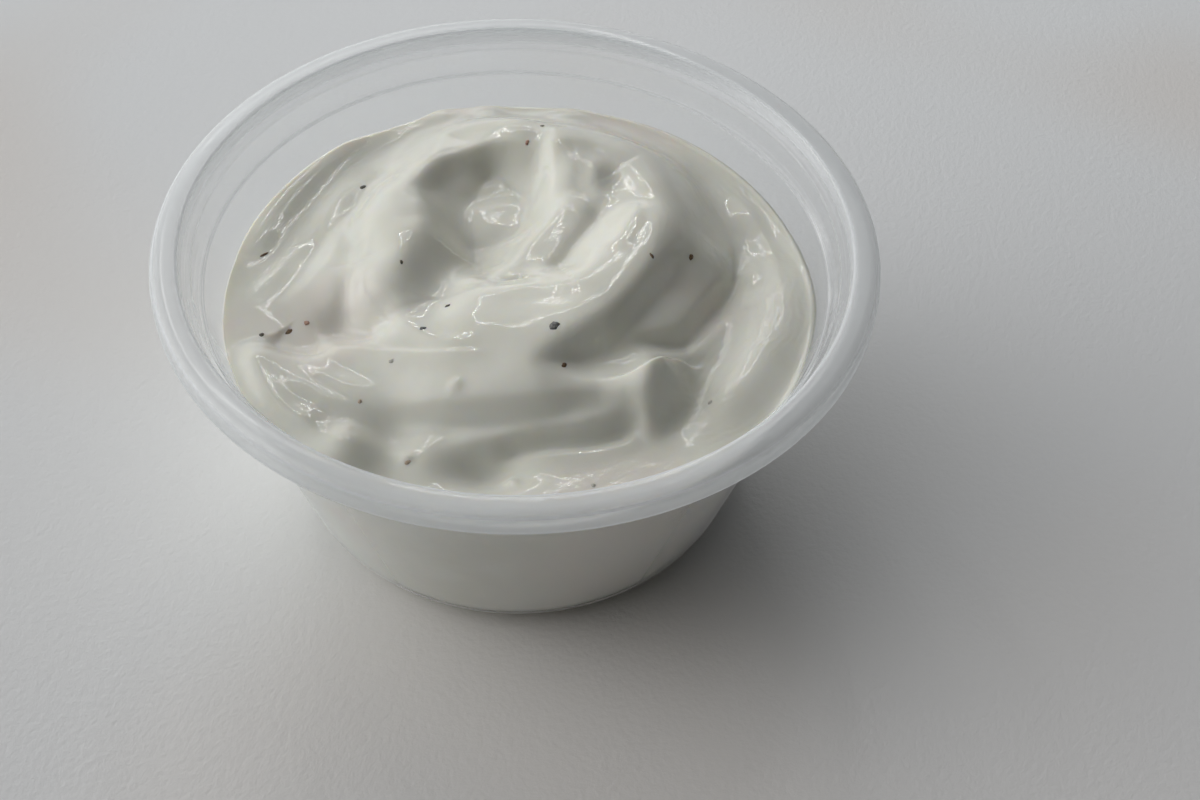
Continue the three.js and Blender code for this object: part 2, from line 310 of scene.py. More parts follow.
# %% [markdown]
# Thin polypropylene is neither glass nor white plastic. Most light goes straight through, some
# is scattered by the haze in the sheet, and some is mirrored by the smooth surface. A volume
# would be the true way, but a sheet this thin is noisy and slow to render that way. So a
# transparent shader and a pale one are mixed on the surface. The haze below is the share of
# the pale one. It grows where the sheet is seen edge on, because the way through it is longer
# there, and all over the thick rim. At each bend it also has a thin pale line, which is a
# painted highlight: it stands in for the bright lines that light draws along the rounded bends.

# %% Where the plastic is milky, with painted highlight lines at the bends
SHEET_MILK = 0.01
CLOUD_MILK = 0.02
RIM_MILK = 0.45
SLANT_MILK = 0.04
EDGE_ON_MILK = 0.75
BEND_WIDTH = 0.18
PAINTED_BEND_LINES = [
    # radius, height and how bright the painted highlight line is
    (32.2, 30.3, 0.50),
    (33.1, 32.9, 0.20),
    (33.9, 33.4, 0.30),
    (34.3, 34.8, 0.60),
    (36.7, 34.5, 0.55),
    (36.9, 32.7, 0.45),
]
RIM_FROM_HEIGHT = (32.2, 32.7)
RIM_FROM_RADIUS = (33.8, 34.4)
plastic, _, place = new_material("milky polypropylene")
across, along, height = (place.axis(number) for number in range(3))
radius = (across * across + along * along) ** 0.5
# painted highlight: a thin pale band of haze along each bend, standing in for the bright lines
# light draws there
painted_bend_lines = 0.0
for bend_radius, bend_height, line_paint in PAINTED_BEND_LINES:
    aside = (radius - bend_radius * MM) / (BEND_WIDTH * MM)
    above = (height - bend_height * MM) / (BEND_WIDTH * MM)
    painted_bend_lines = painted_bend_lines + line_paint * math.e ** (-1.0 * (aside * aside + above * above))
high_enough, wide_enough = (
    measure.between(low * MM, high * MM)
    for measure, (low, high) in ((height, RIM_FROM_HEIGHT), (radius, RIM_FROM_RADIUS))
)
flow = place.grain(14.0, detail=1.0, stretch=(1.0, 1.0, 0.4))
facing = place.node("ShaderNodeLayerWeight", {}, {"Blend": 0.5}, output=1)
even_milk = SHEET_MILK + CLOUD_MILK * flow + RIM_MILK * (high_enough * wide_enough)
haze_and_painted_lines = even_milk + SLANT_MILK * facing**2.0 + EDGE_ON_MILK * facing**6.0 + painted_bend_lines
print(len(PAINTED_BEND_LINES), "bends are milky")

# %% [markdown]
# The pale share scatters half its light back and half onward, so the cup glows on the side
# away from the window too. The gloss on top grows at a slant, as on every smooth surface.
# Blender's own Fresnel node isn't used for that: seen from inside a closed sheet, it turns the
# plastic into a mirror. The slant itself, raised to the fifth power, does the same without it.

# %% The cup's plastic
SCATTERED_THROUGH = 0.5
MILK = (0.965, 0.985, 1.0, 1.0)
CLEAR = (0.995, 0.998, 0.998, 1.0)
HEAD_ON_GLOSS = 0.03
SLANTING_GLOSS = 0.20
scuffs = place.grain(2.5, detail=3.0)
clear = place.node("ShaderNodeBsdfTransparent", {}, {"Color": CLEAR})
outward = place.node("ShaderNodeBsdfDiffuse", {}, {"Color": MILK})
through = place.node("ShaderNodeBsdfTranslucent", {}, {"Color": MILK})
haze = place.node("ShaderNodeMixShader", {}, {0: SCATTERED_THROUGH, 1: outward, 2: through})
sheet = place.node("ShaderNodeMixShader", {}, {0: haze_and_painted_lines, 1: clear, 2: haze})
gloss = place.node("ShaderNodeBsdfGlossy", {}, {"Roughness": 0.08 + 0.06 * scuffs})
mirrored = HEAD_ON_GLOSS + SLANTING_GLOSS * facing**5.0
skin = place.node("ShaderNodeMixShader", {}, {0: mirrored, 1: sheet, 2: gloss})
plastic_output = plastic.node_tree.nodes["Material Output"]
plastic.node_tree.links.new(skin.socket, plastic_output.inputs["Surface"])
cup = finished(cup_mesh, "portion_cup", [plastic])

# %% [markdown]
# ## The dip
# Ranch dip is stiff enough to keep the shape that the spoon left: a heap with a crater, folds
# that run round it like the turns of a coil, and a roll across the front. Sculpting would do,
# but it can't be repeated. Here the surface is a sum of simple forms, each in one line: a
# mound, folds that follow a path, and lumps. A learner can change one number and see its fold
# move.

# %% Mounds and lumps
NEARLY_NOTHING = 1e-9
DIP_LEVEL = 25.7
HEAP = {
    "at": (2.1, 3.4),
    "rise": 5.44,
    "foot": (27, 22.6, 28.3, 27.5),
    "top": (9.9, 11.7, 13.5, 16.1),
}
CRATER = {
    "at": (-2.8, 10.7),
    "rise": -3.23,
    "foot": (8.4, 11.8, 16.2, 8.5),
    "top": (2, 2.8, 8.6, 5.2),
}


def soft_step(t):
    """0 up to 0, 1 from 1 on, and a smooth rise between them."""
    t = np.clip(t, 0, 1)
    return t * t * (3 - 2 * t)


def mound(x, y, at, rise, foot, top):
    """A flat-topped heap or hollow. foot and top reach to the left, right, front and back."""
    dx = x - at[0] + NEARLY_NOTHING
    dy = y - at[1]
    distance = np.hypot(dx, dy)

    def reach(left, right, front, back):
        across = dx / distance / np.where(dx < 0, left, right)
        along = dy / distance / np.where(dy < 0, front, back)
        return 1 / np.hypot(across, along)

    foot, top = reach(*foot), reach(*top)
    return rise * soft_step((foot - distance) / (foot - top))


def lump(x, y, rise, cx, cy, along, across, turn):
    """A rounded bump, or a dimple where rise is negative. turn is in degrees."""
    c, s = math.cos(math.radians(turn)), math.sin(math.radians(turn))
    u = (x - cx) * c + (y - cy) * s
    v = (y - cy) * c - (x - cx) * s
    return rise * np.exp(-0.5 * ((u / along) ** 2 + (v / across) ** 2))


print("the heap rises", HEAP["rise"], "mm and the crater sinks", -CRATER["rise"], "mm")

# %% [markdown]
# A fold follows a smooth path through a few points. For every point of the surface the nearest
# place on the path is found, and the fold's height falls off to both sides of it, more gently
# on one side than on the other where the dip has slumped.


# %% Folds
FOLD_REACH = 4


def smooth_path(points, steps=12):
    """A curve that passes through all its points."""
    points = np.array(points, float)
    points = np.vstack([2 * points[0] - points[1], points, 2 * points[-1] - points[-2]])
    t = (np.arange(steps) / steps)[:, None]
    stretches = []
    for a, b, c, d in zip(points, points[1:], points[2:], points[3:]):
        cubic = 3 * b - a - 3 * c + d
        square = 2 * a - 5 * b + 4 * c - d
        stretches.append(0.5 * (2 * b + (c - a) * t + square * t**2 + cubic * t**3))
    return np.vstack([*stretches, points[-2:-1]])


def fold(x, y, rise, left, right, fade, *points):
    """A ridge, or a groove where rise is negative, that runs out at both ends."""
    path = smooth_path(points)
    steps = np.diff(path, axis=0)
    lengths = np.hypot(*steps.T)
    starts = np.concatenate([[0], np.cumsum(lengths)])
    total = starts[-1]
    reach = FOLD_REACH * max(left, right)
    low, high = path.min(axis=0) - reach, path.max(axis=0) + reach
    near = (x > low[0]) & (x < high[0]) & (y > low[1]) & (y < high[1])
    px, py = x[near], y[near]
    best = np.full(px.shape, np.inf)
    along = np.zeros(px.shape)
    side = np.zeros(px.shape)
    for (ax, ay), (sx, sy), length, start in zip(path, steps, lengths, starts):
        dx, dy = px - ax, py - ay
        t = np.clip((dx * sx + dy * sy) / length**2, 0, 1)
        gap = (dx - t * sx) ** 2 + (dy - t * sy) ** 2
        closer = gap < best
        best[closer] = gap[closer]
        along[closer] = (start + t * length)[closer]
        side[closer] = (sx * dy - sy * dx)[closer]
    width = np.where(side > 0, left, right)
    ends = soft_step(along / (fade * total)) * soft_step((total - along) / (fade * total))
    height = np.zeros(x.shape)
    height[near] = rise * ends * np.exp(-0.5 * best / width**2)
    return height


print("a path through 3 points has", len(smooth_path([(0, 0), (1, 1), (2, 0)])), "samples")

# %% [markdown]
# These are the folds of this cup, each with its rise, its half widths to the left and right of
# its way, the share of its length over which the ends run out, and its path.

# %% The folds and lumps of this dip
FOLDS = [
    # crest of the crater: right, back and left
    (1.56, 3.1, 2.7, 0.25, (-3.3, -5.3), (5.7, -8.2), (10.2, -4.7), (13.5, 0.9), (16.7, 6),
     (16.9, 11.2), (14.9, 17.8), (7.3, 19.8), (4.2, 19.5)),
    (1.06, 1.7, 2.4, 0.25, (5.3, 18.2), (3.4, 20.3), (-2.1, 23), (-8.5, 23.1), (-10.2, 16.2),
     (-13.8, 12.3), (-14.5, 10.6)),
    (1.52, 2.6, 3, 0.25, (-12.6, 17.2), (-14.6, 12.2), (-14.4, 6.2), (-12.4, 1.7), (-15, -1.8),
     (-14.6, -5.6), (-12.8, -8.6)),
    # slanting folds and troughs inside the crater
    (1.54, 2.3, 1.8, 0.25, (-2.6, -3.6), (-2.7, -1.3), (-0.3, 2), (2.7, 6), (5.2, 9.6),
     (7.1, 11.2)),
    (-1.13, 1, 1.7, 0.25, (2.2, -2.6), (4.8, -0.2), (6.4, 2.6), (8.4, 5.9), (9.3, 10)),
    (0.79, 1.8, 2.3, 0.25, (1.7, -4.1), (6.5, -1.6), (7.7, 2.8), (10.5, 6.4), (13.2, 9)),
    (1.12, 2.2, 1, 0.35, (4.4, 22.5), (4.1, 14), (3.8, 8.1)),
    (-0.94, 1.8, 1.7, 0.25, (-8.4, 17.7), (-7.9, 11.9), (-6.1, 7.4), (-4.1, 3.2), (-6.9, 0.6)),
    # the roll that crosses the front, its lip and the groove behind it
    (1.43, 2.7, 1.3, 0.14, (-25.3, -8.4), (-22.4, -11.4), (-16.9, -15.2), (-7.6, -16.8),
     (0.2, -17.3), (8, -16.5), (13.4, -16.6), (19.1, -13.8)),
    (0.51, 0.6, 1.1, 0.3, (-21.7, -7.2), (-19.1, -8), (-12.8, -10.7), (-8.1, -12.1), (-1.8, -13.2)),
    (-0.58, 1.5, 0.8, 0.25, (-26.2, -5.2), (-25.1, -6.4), (-21, -7.8), (-18.7, -7)),
    (1.18, 1.7, 1.2, 0.25, (-27.7, -5.5), (-25.3, -12.5), (-22.3, -16.6), (-17.7, -19.7)),
    # the steep right flank, stepped like the turns of a coil
    (-2.18, 2.2, 0.9, 0.25, (18.7, 3.5), (17.2, -0.1), (14.5, -4.4), (11.2, -9.2), (8.3, -11.7),
     (0.8, -15.1)),
    (0.8, 1.7, 1.7, 0.25, (20, 6.6), (20.5, 1.5), (18.1, -1.9), (14.9, -6.1), (12.5, -9.3),
     (7.6, -12)),
    (-1.41, 0.9, 0.5, 0.25, (23.7, 8.7), (23, 2.4), (19.8, -3.1), (17.6, -6.9), (15.7, -8.6),
     (9.7, -10.7)),
    (1.63, 0.4, 2.4, 0.4, (7.4, -15.9), (11.9, -15.1), (15.9, -12.1), (17.9, -11.4), (20.3, -9.2)),
    (0.97, 1.4, 1.3, 0.25, (15.1, -11.8), (13.2, -14.9), (12.7, -17.9), (11, -19.4)),
    (-1.07, 1.6, 2.4, 0.25, (23.6, 12.7), (26.2, 3.4), (22.2, -1.1), (20.5, -8.2), (17.7, -14.8),
     (13.9, -20.1)),
    (1.45, 2.4, 3.1, 0.25, (27, 9.9), (26.3, 3.5), (27.8, -3.3), (23.7, -11.4), (17, -21.1)),
    # long soft streaks down the left slope
    (0.36, 1.9, 1.5, 0.25, (-13.5, 25.5), (-18.2, 18.7), (-22.7, 7.4), (-29, -2.6)),
    (0.67, 1.7, 1.8, 0.25, (-15.9, 29.6), (-25.6, 15), (-29, 3.4)),
    (0.6, 2, 1.3, 0.25, (-17.9, 12.4), (-19.7, 3.9), (-25.7, -3.3)),
    (-0.89, 1.2, 1.1, 0.25, (-16.8, 16.5), (-18.1, 7.7), (-16.9, 1.4)),
    # the layers under the roll's front edge
    (-0.42, 0.7, 0.9, 0.2, (-24, -7.5), (-21.6, -11.6), (-16.8, -15.2), (-9.9, -17.8),
     (-5.1, -19.2), (2.1, -19.3), (6.9, -17.5), (11.2, -15.9)),
    (0.54, 0.7, 0.9, 0.2, (-7.9, -20.2), (-3, -20.5), (3, -19.8), (7.9, -19), (11.8, -18.1)),
    (-0.94, 0.6, 0.6, 0.2, (-3.2, -21.6), (3, -21), (7.7, -20.4), (12.9, -18.6)),
    # a second streak on the front left, and the last turn of the coil
    (0.31, 0.7, 0.6, 0.3, (-15, -6.5), (-11.5, -7.3), (-7.9, -10.4), (-3.1, -11.4)),
    (-0.74, 1.2, 1.2, 0.25, (12, -18.6), (16, -17.1), (18.2, -12.6), (19.4, -8.1)),
    # the lip of the crater, and the channel round its left side
    (0.21, 0.8, 1, 0.25, (-6.1, 1.6), (-4.2, -2.1), (0.1, -4.2), (5, -4.8), (8.9, -5)),
    (-0.52, 1, 1.1, 0.25, (0.7, 18), (-2.8, 17.7), (-6.7, 15.6), (-9.6, 13.1), (-9.4, 9)),
    # fine ridges and grooves outside the right crest
    (-0.16, 1.2, 1.4, 0.25, (18.2, 19.8), (20.7, 15.9), (23.2, 10), (24, 4.9)),
    (0.27, 0.6, 0.8, 0.25, (23.8, 16.2), (26.1, 11), (27.4, 5), (27.5, -0.8)),
    (0.17, 0.9, 1, 0.25, (19, 18.1), (19.3, 12), (19, 6.1)),
    (0.29, 0.9, 0.9, 0.25, (9.6, -0.7), (11.6, 3.7), (13.1, 8.5)),
    (-0.34, 1, 1.3, 0.25, (-24.1, 3.1), (-20.1, 8.9), (-17.5, 14.6), (-12.8, 19)),
]
LUMPS = [
    # on the crater's floor and in its back right corner
    (-0.68, -3, 13.2, 2.6, 1.2, 4),
    (-0.7, -2.2, 6.5, 2.6, 1, 5),
    (-0.45, 7, 13, 0.9, 1.2, 0),
    (0.97, 7.5, 13.1, 2, 1.6, 0),
    (-0.37, 10.2, 11.9, 1.2, 2, 0),
    # hollows left of the crater
    (-1.82, -8.1, -2.9, 2.3, 3.5, 0),
    (-0.96, -7.2, 1.5, 1.8, 2, 0),
    (-2.35, -17.7, -4.5, 2, 1.7, 2),
    (-1.69, -15, -6.1, 1.6, 1.3, 0),
    # waves along the front, where the roll ends above the lowest layer
    (1.74, -16.4, -20.7, 2.5, 2.1, 0),
    (-1.18, -12.7, -20.3, 2.3, 4.2, 0),
    (0.83, -10.2, -21.8, 2.7, 1.8, 0),
    (-1.8, -2.8, -23.6, 2.7, 1.5, 5),
    # the knuckle on the right, and soft swellings on the rest
    (0.17, 13.1, -12.5, 2, 1.6, 3),
    (0.55, -2, 12.7, 1.8, 1.4, 0),
    (0.59, -4.8, 26.6, 2.7, 2.9, 0),
    (-0.42, 2.2, 24.2, 2.2, 2.5, 0),
    (-0.69, -17.8, -1.2, 0.9, 1.4, 0),
    (0.27, -23.3, -9.3, 2.2, 1.3, -4),
    # where the dip clings to the back wall
    (0.7, -8.6, 28.6, 1.5, 1.2, 0),
    (0.45, -3.4, 29.2, 1.3, 1, 0),
    (0.5, 5.8, 28.8, 1.8, 1, 0),
    # small bubbles under the skin
    (0.22, -6.2, -15.9, 0.5, 0.5, 0),
    (0.3, -10.9, -22.2, 0.45, 0.45, 0),
    (0.4, -0.7, -24.6, 0.5, 0.5, 0),
    (0.25, 8.8, -10.9, 0.3, 0.3, 0),
]
TILT = 0.012
BACK_RISE, BACK_FROM, BACK_LENGTH = 0.35, 10, 20


def dip_height(x, y):
    """Height of the dip's surface over the table, in millimetres."""
    z = DIP_LEVEL + TILT * x + BACK_RISE * soft_step((y - BACK_FROM) / BACK_LENGTH)
    z = z + mound(x, y, **HEAP) + mound(x, y, **CRATER)
    for one in FOLDS:
        z = z + fold(x, y, *one)
    for one in LUMPS:
        z = z + lump(x, y, *one)
    return z


print(len(FOLDS), "folds and", len(LUMPS), "lumps")

# %% [markdown]
# The top starts as a square grid, because its cells stay even where a spun disc would crowd
# them in the middle. Each row is pulled in so that the square's edge lands on a circle. Then
# the rim of that disc is drawn out to the plastic, and extruded down the wall, round the heel
# and over the base panel. The dip reaches a little into the sheet of the cup, so there is no
# film of air between them, which would look grey. On the right, where the spoon pushed it, it
# climbs a little up the wall.

# %% The body of the dip
INTO_WALL = 0.2
CLIMB = 0.35
CLIMB_FROM = 20.0
CELLS = 280
dip_mesh = bmesh.new()
bmesh.ops.create_grid(dip_mesh, x_segments=CELLS, y_segments=CELLS, size=1.0)
corner = np.array([vert.co for vert in dip_mesh.verts])
edge = wall_radius(DIP_LEVEL, -INTO_WALL)
disc_x = edge * corner[:, 0] * np.sqrt(1 - corner[:, 1] ** 2 / 2)
disc_y = edge * corner[:, 1] * np.sqrt(1 - corner[:, 0] ** 2 / 2)
disc_z = dip_height(disc_x, disc_y)
from_wall = np.clip(wall_radius(disc_z) - np.hypot(disc_x, disc_y), 0, None)
disc_z = disc_z + CLIMB * np.exp(-from_wall / CLIMB) * soft_step(disc_x / CLIMB_FROM)
for vert, x, y, z in zip(dip_mesh.verts, disc_x, disc_y, disc_z):
    spread = wall_radius(z, -INTO_WALL) / edge if vert.is_boundary else 1.0
    vert.co = (x * spread, y * spread, z)
print("dip surface from", round(disc_z.min(), 2), "to", round(disc_z.max(), 2), "mm")

# %% Down the wall and over the base
HEEL_STEPS = 6
WALL_RINGS = (23.5, 20.0, 15.0, 10.0, 6.0)
floor_level = WALL - INTO_WALL
lean = math.atan2(WALL_TOP[0] - wall_radius(0), WALL_TOP[1])
around = HEEL - floor_level
heel_centre = wall_radius(HEEL, -INTO_WALL) - around / math.cos(lean)
SIDE = [(wall_radius(z, -INTO_WALL), z) for z in WALL_RINGS]
for step in range(HEEL_STEPS + 1):
    angle = lean + (math.pi / 2 - lean) * step / HEEL_STEPS
    SIDE.append((heel_centre + around * math.cos(angle), HEEL - around * math.sin(angle)))
SIDE += [(FOOT_INNER, floor_level), (PANEL_RADIUS, floor_level + PANEL_LIFT)]
ring = [edge for edge in dip_mesh.edges if edge.is_boundary]
for ring_radius, ring_height in SIDE:
    made = bmesh.ops.extrude_edge_only(dip_mesh, edges=ring)["geom"]
    ring = [item for item in made if isinstance(item, bmesh.types.BMEdge)]
    for vert in {vert for item in ring for vert in item.verts}:
        flat = Vector((vert.co.x, vert.co.y)).normalized() * ring_radius
        vert.co = (flat.x, flat.y, ring_height)
bmesh.ops.contextual_create(dip_mesh, geom=ring)
bmesh.ops.recalc_face_normals(dip_mesh, faces=dip_mesh.faces)
open_edges = sum(not edge.is_manifold for edge in dip_mesh.edges)
print("dip:", round(dip_mesh.calc_volume() / 1000, 2), "ml,", open_edges, "open edges")

# %% [markdown]
# Ranch dip is cream, herbs and oil: white, but warm beside the cool plastic, a little
# translucent, and wet. Light enters it and leaves again a millimetre away, which softens every
# shadow, so the shader scatters under the surface. Its gloss is uneven: smooth where the spoon
# passed, duller where the dip has begun to dry. Fine drag lines run round the heap where it
# tore, on the right. They are too fine for the mesh, so they are a bump: the sine of the
# distance from the heap, made wavy by noise.

# %% Drag lines round the heap
LINE_SPACING = 0.9
LINE_WOBBLE = 4.0
TORN_FROM = (12.0, 17.0)
cream, dip_shader, place = new_material(
    "ranch dip",
    IOR=1.38,
    Specular_IOR_Level=0.5,
    Subsurface_Weight=0.6,
    Subsurface_Radius=(1.0, 0.8, 0.5),
    Subsurface_Scale=0.0008,
)
heap_x, heap_y = HEAP["at"]
centred = place.node(
    "ShaderNodeMapping",
    {},
    {"Vector": place, "Location": (-heap_x * MM, -heap_y * MM, 0.0), "Scale": (1.0, 1.0, 0.0)},
)
from_heap = centred.node("ShaderNodeVectorMath", {"operation": "LENGTH"}, {0: centred}, output=1)
wobble = place.grain(6.0, detail=4.0)
turns = (2 * math.pi / LINE_SPACING / MM) * (from_heap + LINE_WOBBLE * MM * wobble)
on_the_right = place.axis(0).between(TORN_FROM[0] * MM, TORN_FROM[1] * MM)
torn = place.grain(5.0, detail=2.0).between(0.45, 0.60) * on_the_right
lines = turns.sine() * torn
print("a drag line every", LINE_SPACING, "mm")

# %% The dip's finish, with a painted warm reflection
GREYER, WHITER = (0.77, 0.768, 0.685, 1.0), (0.83, 0.83, 0.755, 1.0)
# painted warm reflection: a pinker cream for broad patches that stand in for warm room light
# reflected onto the dip
PAINTED_WARM_TINT = (0.83, 0.80, 0.73, 1.0)
clouds = place.grain(7.0, detail=3.0)
painted_warm_reflection = place.grain(22.0, detail=1.0)
pores = place.grain(0.45, detail=3.0)
drag = place.grain(1.6, detail=3.0)
white = clouds.between(0.3, 0.7).blend(GREYER, WHITER)
feed(
    dip_shader,
    Base_Color=painted_warm_reflection.between(0.5, 0.65).blend(white, PAINTED_WARM_TINT),
    Roughness=0.04 + 0.08 * drag + 0.08 * torn,
    Normal=lines.bump(0.007, normal=pores.bump(0.004, normal=drag.bump(0.03))),
)
dip = finished(dip_mesh, "swirled_dip", [cream])

# %% [markdown]
# ## Herb flecks
# The flecks are chopped dried herbs and pepper. Each is a small flat crumb with an uneven
# outline, which lies in the surface and is tilted with it. A sphere of few faces, squashed and
# roughened, is enough at half a millimetre. Some lie deeper, under a film of dip, and show only
# as a faint warm or grey spot, so they have paler finishes.

# %% Where the flecks lie
DARK, GREY, BROWN, RED, TAN, FAINT = range(6)
FLECKS = [
    # place, half length, half width, direction in degrees, kind
    (3.6, -10.4, 0.7, 0.52, 40, GREY),
    (4.5, -13.8, 0.55, 0.34, 60, BROWN),
    (-17.2, 16.2, 0.55, 0.4, 10, DARK),
    (-27.2, 6.4, 0.75, 0.26, 35, BROWN),
    (-26.4, -5.3, 0.42, 0.36, 80, DARK),
    (-23.7, -4.7, 0.55, 0.36, 45, BROWN),
    (-21.9, -3.8, 0.38, 0.34, 0, RED),
    (-7.2, -5.3, 0.38, 0.26, 15, DARK),
    (-9.6, -8.4, 0.4, 0.32, 20, GREY),
    (18.1, 1.6, 0.5, 0.4, 90, BROWN),
    (13.7, -1.2, 0.42, 0.24, 120, BROWN),
    (-15.7, -15.6, 0.36, 0.3, 70, TAN),
    (-10.7, -22.8, 0.4, 0.34, 50, TAN),
    (2.7, 20.9, 0.34, 0.3, 30, DARK),
    (1, 18.3, 0.4, 0.26, 80, RED),
    (-12.7, -11.6, 0.38, 0.3, 10, FAINT),
    (19.1, -15.7, 0.36, 0.3, 60, FAINT),
    (7.1, -25.8, 0.34, 0.28, 0, FAINT),
    (-12, -0.4, 0.32, 0.2, 100, DARK),
]
FLECK_THICKNESS = 0.4
FLECK_SUNK = 0.12
FLECK_ROUGHNESS = 0.35
FLECK_DENTS = 1.3


def surface_frame(x, y, reach):
    """A matrix that stands on the dip at a place, with +Z square to the surface."""
    xs = np.array([x, x + reach, x - reach, x, x])
    ys = np.array([y, y, y, y + reach, y - reach])
    z, right, left, back, front = dip_height(xs, ys)
    normal = Vector((left - right, front - back, 2 * reach)).normalized()
    turn = Vector((0, 0, 1)).rotation_difference(normal).to_matrix().to_4x4()
    return Matrix.Translation(Vector((x, y, z)) - FLECK_SUNK * normal) @ turn


fleck_mesh = bmesh.new()
for x, y, length, width, direction, kind in FLECKS:
    made = bmesh.ops.create_icosphere(fleck_mesh, subdivisions=2, radius=1.0)["verts"]
    for vert in made:
        dent = noise.noise(FLECK_DENTS * vert.co + Vector((x, y, 0)))
        vert.co *= 1 + FLECK_ROUGHNESS * dent
    shape = Matrix.Diagonal((length, width, FLECK_THICKNESS / 2, 1.0))
    turn = Matrix.Rotation(math.radians(direction), 4, "Z")
    bmesh.ops.transform(
        fleck_mesh,
        matrix=surface_frame(x, y, length) @ turn @ shape,
        verts=made,
    )
    for face in {face for vert in made for face in vert.link_faces}:
        face.material_index = kind
print(len(FLECKS), "flecks,", len(fleck_mesh.faces), "faces")

# %% The flecks' colours
FLECK_COLOURS = {
    "dark herb": ((0.050, 0.046, 0.034, 1.0), (0.15, 0.13, 0.10, 1.0)),
    "grey herb": ((0.085, 0.088, 0.086, 1.0), (0.20, 0.20, 0.19, 1.0)),
    "brown herb": ((0.090, 0.052, 0.026, 1.0), (0.26, 0.17, 0.09, 1.0)),
    "red pepper": ((0.34, 0.18, 0.13, 1.0), (0.54, 0.35, 0.27, 1.0)),
    "tan crumb": ((0.46, 0.35, 0.25, 1.0), (0.62, 0.51, 0.40, 1.0)),
    "fleck under a film of dip": ((0.46, 0.45, 0.40, 1.0), (0.58, 0.57, 0.51, 1.0)),
}
fleck_finishes = []
for name, (darker, lighter) in FLECK_COLOURS.items():
    finish, fleck_shader, place = new_material(name, IOR=1.4)
    crumb = place.grain(0.25, detail=3.0)
    feed(
        fleck_shader,
        Base_Color=crumb.between(0.35, 0.65).blend(darker, lighter),
        Roughness=0.3 + 0.3 * crumb,
        Normal=crumb.bump(0.05),
    )
    fleck_finishes.append(finish)
flecks = finished(fleck_mesh, "herb_flecks", fleck_finishes)

# %% [markdown]
# ## What each piece stands for
# The dressed pieces ride on the one body of the plain model. The cup and the dip replace their
# plain nodes. The flecks are part of the dip's node there, and a piece of their own here.

# %% Tie the pieces to the frame
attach(cup, "root")
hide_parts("cup")
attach(dip, "root")
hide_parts("ranch_dip")
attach(flecks, "root")
print("pieces:", cup.name, dip.name, flecks.name)

# %% [markdown]
# ## Table, light and camera
# The cup stands on a pale grey laminate table with a faint leathery grain. Towards the back its
# colour is painted a little paler and bluer: a painted sheen, where the laminate mirrors the
# bright window behind the cup. In broad patches it is painted warmer: a painted warm reflection
# of the room. It is a stage piece: it isn't part of the object.

# %% The table
TABLE_HALF = 1200.0
# the painted sheen fades in between these two distances along the table, in millimetres
PAINTED_SHEEN_FROM, PAINTED_SHEEN_TO = -60.0, 130.0
table_mesh = bmesh.new()
bmesh.ops.create_grid(table_mesh, x_segments=1, y_segments=1, size=TABLE_HALF)
laminate, table_shader, place = new_material("pale laminate", IOR=1.45)
leather = place.grain(0.8, detail=3.0, roughness=0.6)
tone = place.grain(60.0, detail=2.0)
# painted warm reflection: broad patches where the laminate's colour is painted warmer
painted_warm_patches = place.grain(90.0, detail=1.0).between(0.5, 0.7)
# painted sheen: the colour turns paler and bluer towards the back, where the laminate mirrors the
# window
painted_window_sheen = place.axis(1).between(PAINTED_SHEEN_FROM * MM, PAINTED_SHEEN_TO * MM)
near_tone = tone.blend((0.73, 0.735, 0.74, 1.0), (0.78, 0.785, 0.79, 1.0))
tone_and_painted_sheen = painted_window_sheen.blend(near_tone, (0.86, 0.885, 0.90, 1.0))
feed(
    table_shader,
    Base_Color=painted_warm_patches.blend(tone_and_painted_sheen, (0.80, 0.775, 0.75, 1.0)),
    Roughness=0.38 + 0.2 * leather,
    Normal=leather.bump(0.06),
)
table = finished(table_mesh, "table_top", [laminate])

# %% [markdown]
# Wet food mirrors whatever lights it, so hard-edged lamps leave hard-edged patches on it. A room
# lit by windows is kinder: it is bright one way and dim the other, with no edges. So the
# surroundings are painted as a dim even room with a few wide soft glows, each in its own
# direction. Most are to the left of the cup and behind it, and some are low, so the folds cast
# long soft shades towards the front right.

# %% The room and its glows
ROOM = 0.01
GLOWS = [
    # direction round from the right, height in degrees, brightness, tightness
    (180, 62, 1.10, 12.0),
    (180, 30, 1.20, 12.0),
    (170, 10, 3.10, 12.0),
    (95, 10, 1.70, 12.0),
    (145, 10, 0.80, 12.0),
    (310, 10, 0.12, 12.0),
    (60, 8, 0.12, 5.0),
]


def pointing(around, up):
    """A direction, from degrees round from the right and degrees above the table."""
    around, up = math.radians(around), math.radians(up)
    flat = math.cos(up)
    return (flat * math.cos(around), flat * math.sin(around), math.sin(up))


room = bpy.data.worlds.new("room")
bpy.context.scene.world = room
room.use_nodes = True
sky = room.node_tree
gaze = Wire(sky, sky.nodes.new("ShaderNodeTexCoord").outputs["Generated"])
light = ROOM
for around, up, strength, tightness in GLOWS:
    match = gaze.node(
        "ShaderNodeVectorMath",
        {"operation": "DOT_PRODUCT"},
        {0: gaze, 1: pointing(around, up)},
        output=1,
    )
    light = light + strength * math.e ** (tightness * (match - 1.0))
background = sky.nodes["Background"]
background.inputs["Color"].default_value = (1.0, 1.0, 1.0, 1.0)
sky.links.new(light.socket, background.inputs["Strength"])
bpy.context.scene.view_settings.view_transform = "Standard"
print(len(GLOWS), "glows round the cup")

# %% [markdown]
# The dip looks wet only when it mirrors something with an edge. So a roof window hangs high
# behind the cup: a thin bright frame round a dim pane. In the wet folds it shrinks to small
# pale patches with fine bright outlines. It also gives part of the light from the back.

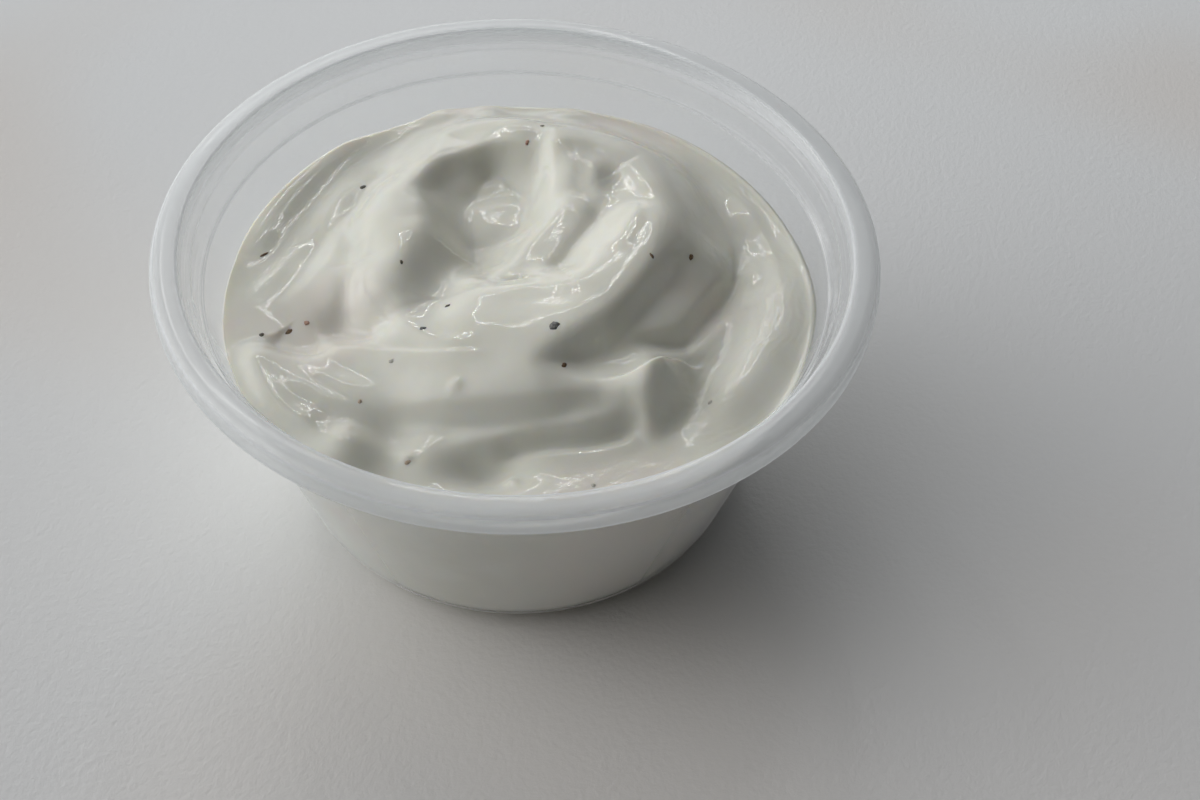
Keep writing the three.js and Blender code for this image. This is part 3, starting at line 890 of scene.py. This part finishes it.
# %% The bright frame and its pane
FRAME_AT = pointing(100, 44)
FRAME_AWAY = 0.9
FRAME_SIZE = (0.36, 0.24)
FRAME_STRIP = 0.014
FRAME_GLARE = 17.0
PANE_GLARE = 0.8


def lit_rectangle(name, shift, size, glare):
    """A light of a given brightness, moved sideways and up from the frame's middle."""
    data = bpy.data.lights.new(name, "AREA")
    data.shape = "RECTANGLE"
    data.size, data.size_y = size
    data.energy = glare * math.pi * size[0] * size[1]
    lamp = bpy.data.objects.new(name, data)
    facing = Vector(FRAME_AT).to_track_quat("Z", "Y")
    lamp.location = FRAME_AWAY * Vector(FRAME_AT) + facing @ Vector((*shift, 0.0))
    lamp.rotation_euler = facing.to_euler()
    bpy.context.scene.collection.objects.link(lamp)


wide, tall = FRAME_SIZE
for side in (-1, 1):
    lit_rectangle("frame_across", (0.0, side * tall / 2), (wide, FRAME_STRIP), FRAME_GLARE)
    lit_rectangle("frame_upright", (side * wide / 2, 0.0), (FRAME_STRIP, tall), FRAME_GLARE)
lit_rectangle("pane", (0.0, 0.0), (wide - FRAME_STRIP, tall - FRAME_STRIP), PANE_GLARE)

# %% [markdown]
# The camera looks down at the cup from the front, as someone at the table would. Its matrix is
# written out: three directions for right, down and forward, and a place.

# %% The camera
RIGHT = (0.99891746, -0.03300448, 0.03278121)
DOWN = (-0.00271903, -0.74492449, -0.66714324)
FORWARD = (0.04643825, 0.6663319, -0.74420782)
PLACE = (0.0, -131.639, 156.255)
FOCAL_PIXELS = 1751.31
IMAGE_WIDTH = 1200
lens = bpy.data.cameras.new("camera")
lens.sensor_width = 36.0
lens.lens = FOCAL_PIXELS * lens.sensor_width / IMAGE_WIDTH
lens.clip_start = 0.01
camera = bpy.data.objects.new("camera", lens)
axes = Matrix((RIGHT, [-v for v in DOWN], [-v for v in FORWARD])).transposed().to_4x4()
camera.matrix_world = Matrix.Translation(Vector(PLACE) * MM) @ axes
bpy.context.scene.collection.objects.link(camera)
bpy.context.scene.camera = camera
print("camera", round(lens.lens, 2), "mm lens, at", [round(v, 3) for v in camera.location])
